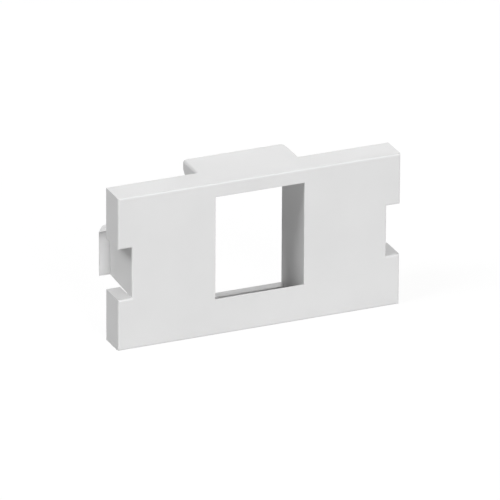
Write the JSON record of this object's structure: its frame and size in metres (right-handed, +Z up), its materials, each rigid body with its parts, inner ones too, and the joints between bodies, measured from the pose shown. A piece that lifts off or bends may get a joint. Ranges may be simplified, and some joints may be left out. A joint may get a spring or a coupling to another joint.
{
  "type": "keystone faceplate",
  "caption": "Rectangular snap-in faceplate insert with a keystone jack port, a housing behind the port, and barbed snap arms behind a clearance notch in each end.",
  "frame": {"origin": "middle of the foot, in the plane of the rim's back that lies against the frame", "axes": "seen from the front, +X to the right along the face, +Y to the back, +Z up"},
  "size_m": [0.0466, 0.0109, 0.025],
  "materials": {
    "moulding": "satin white moulded plastic"
  },
  "bodies": {
    "root": {"faceplate": "moulding"}
  },
  "joints": []
}
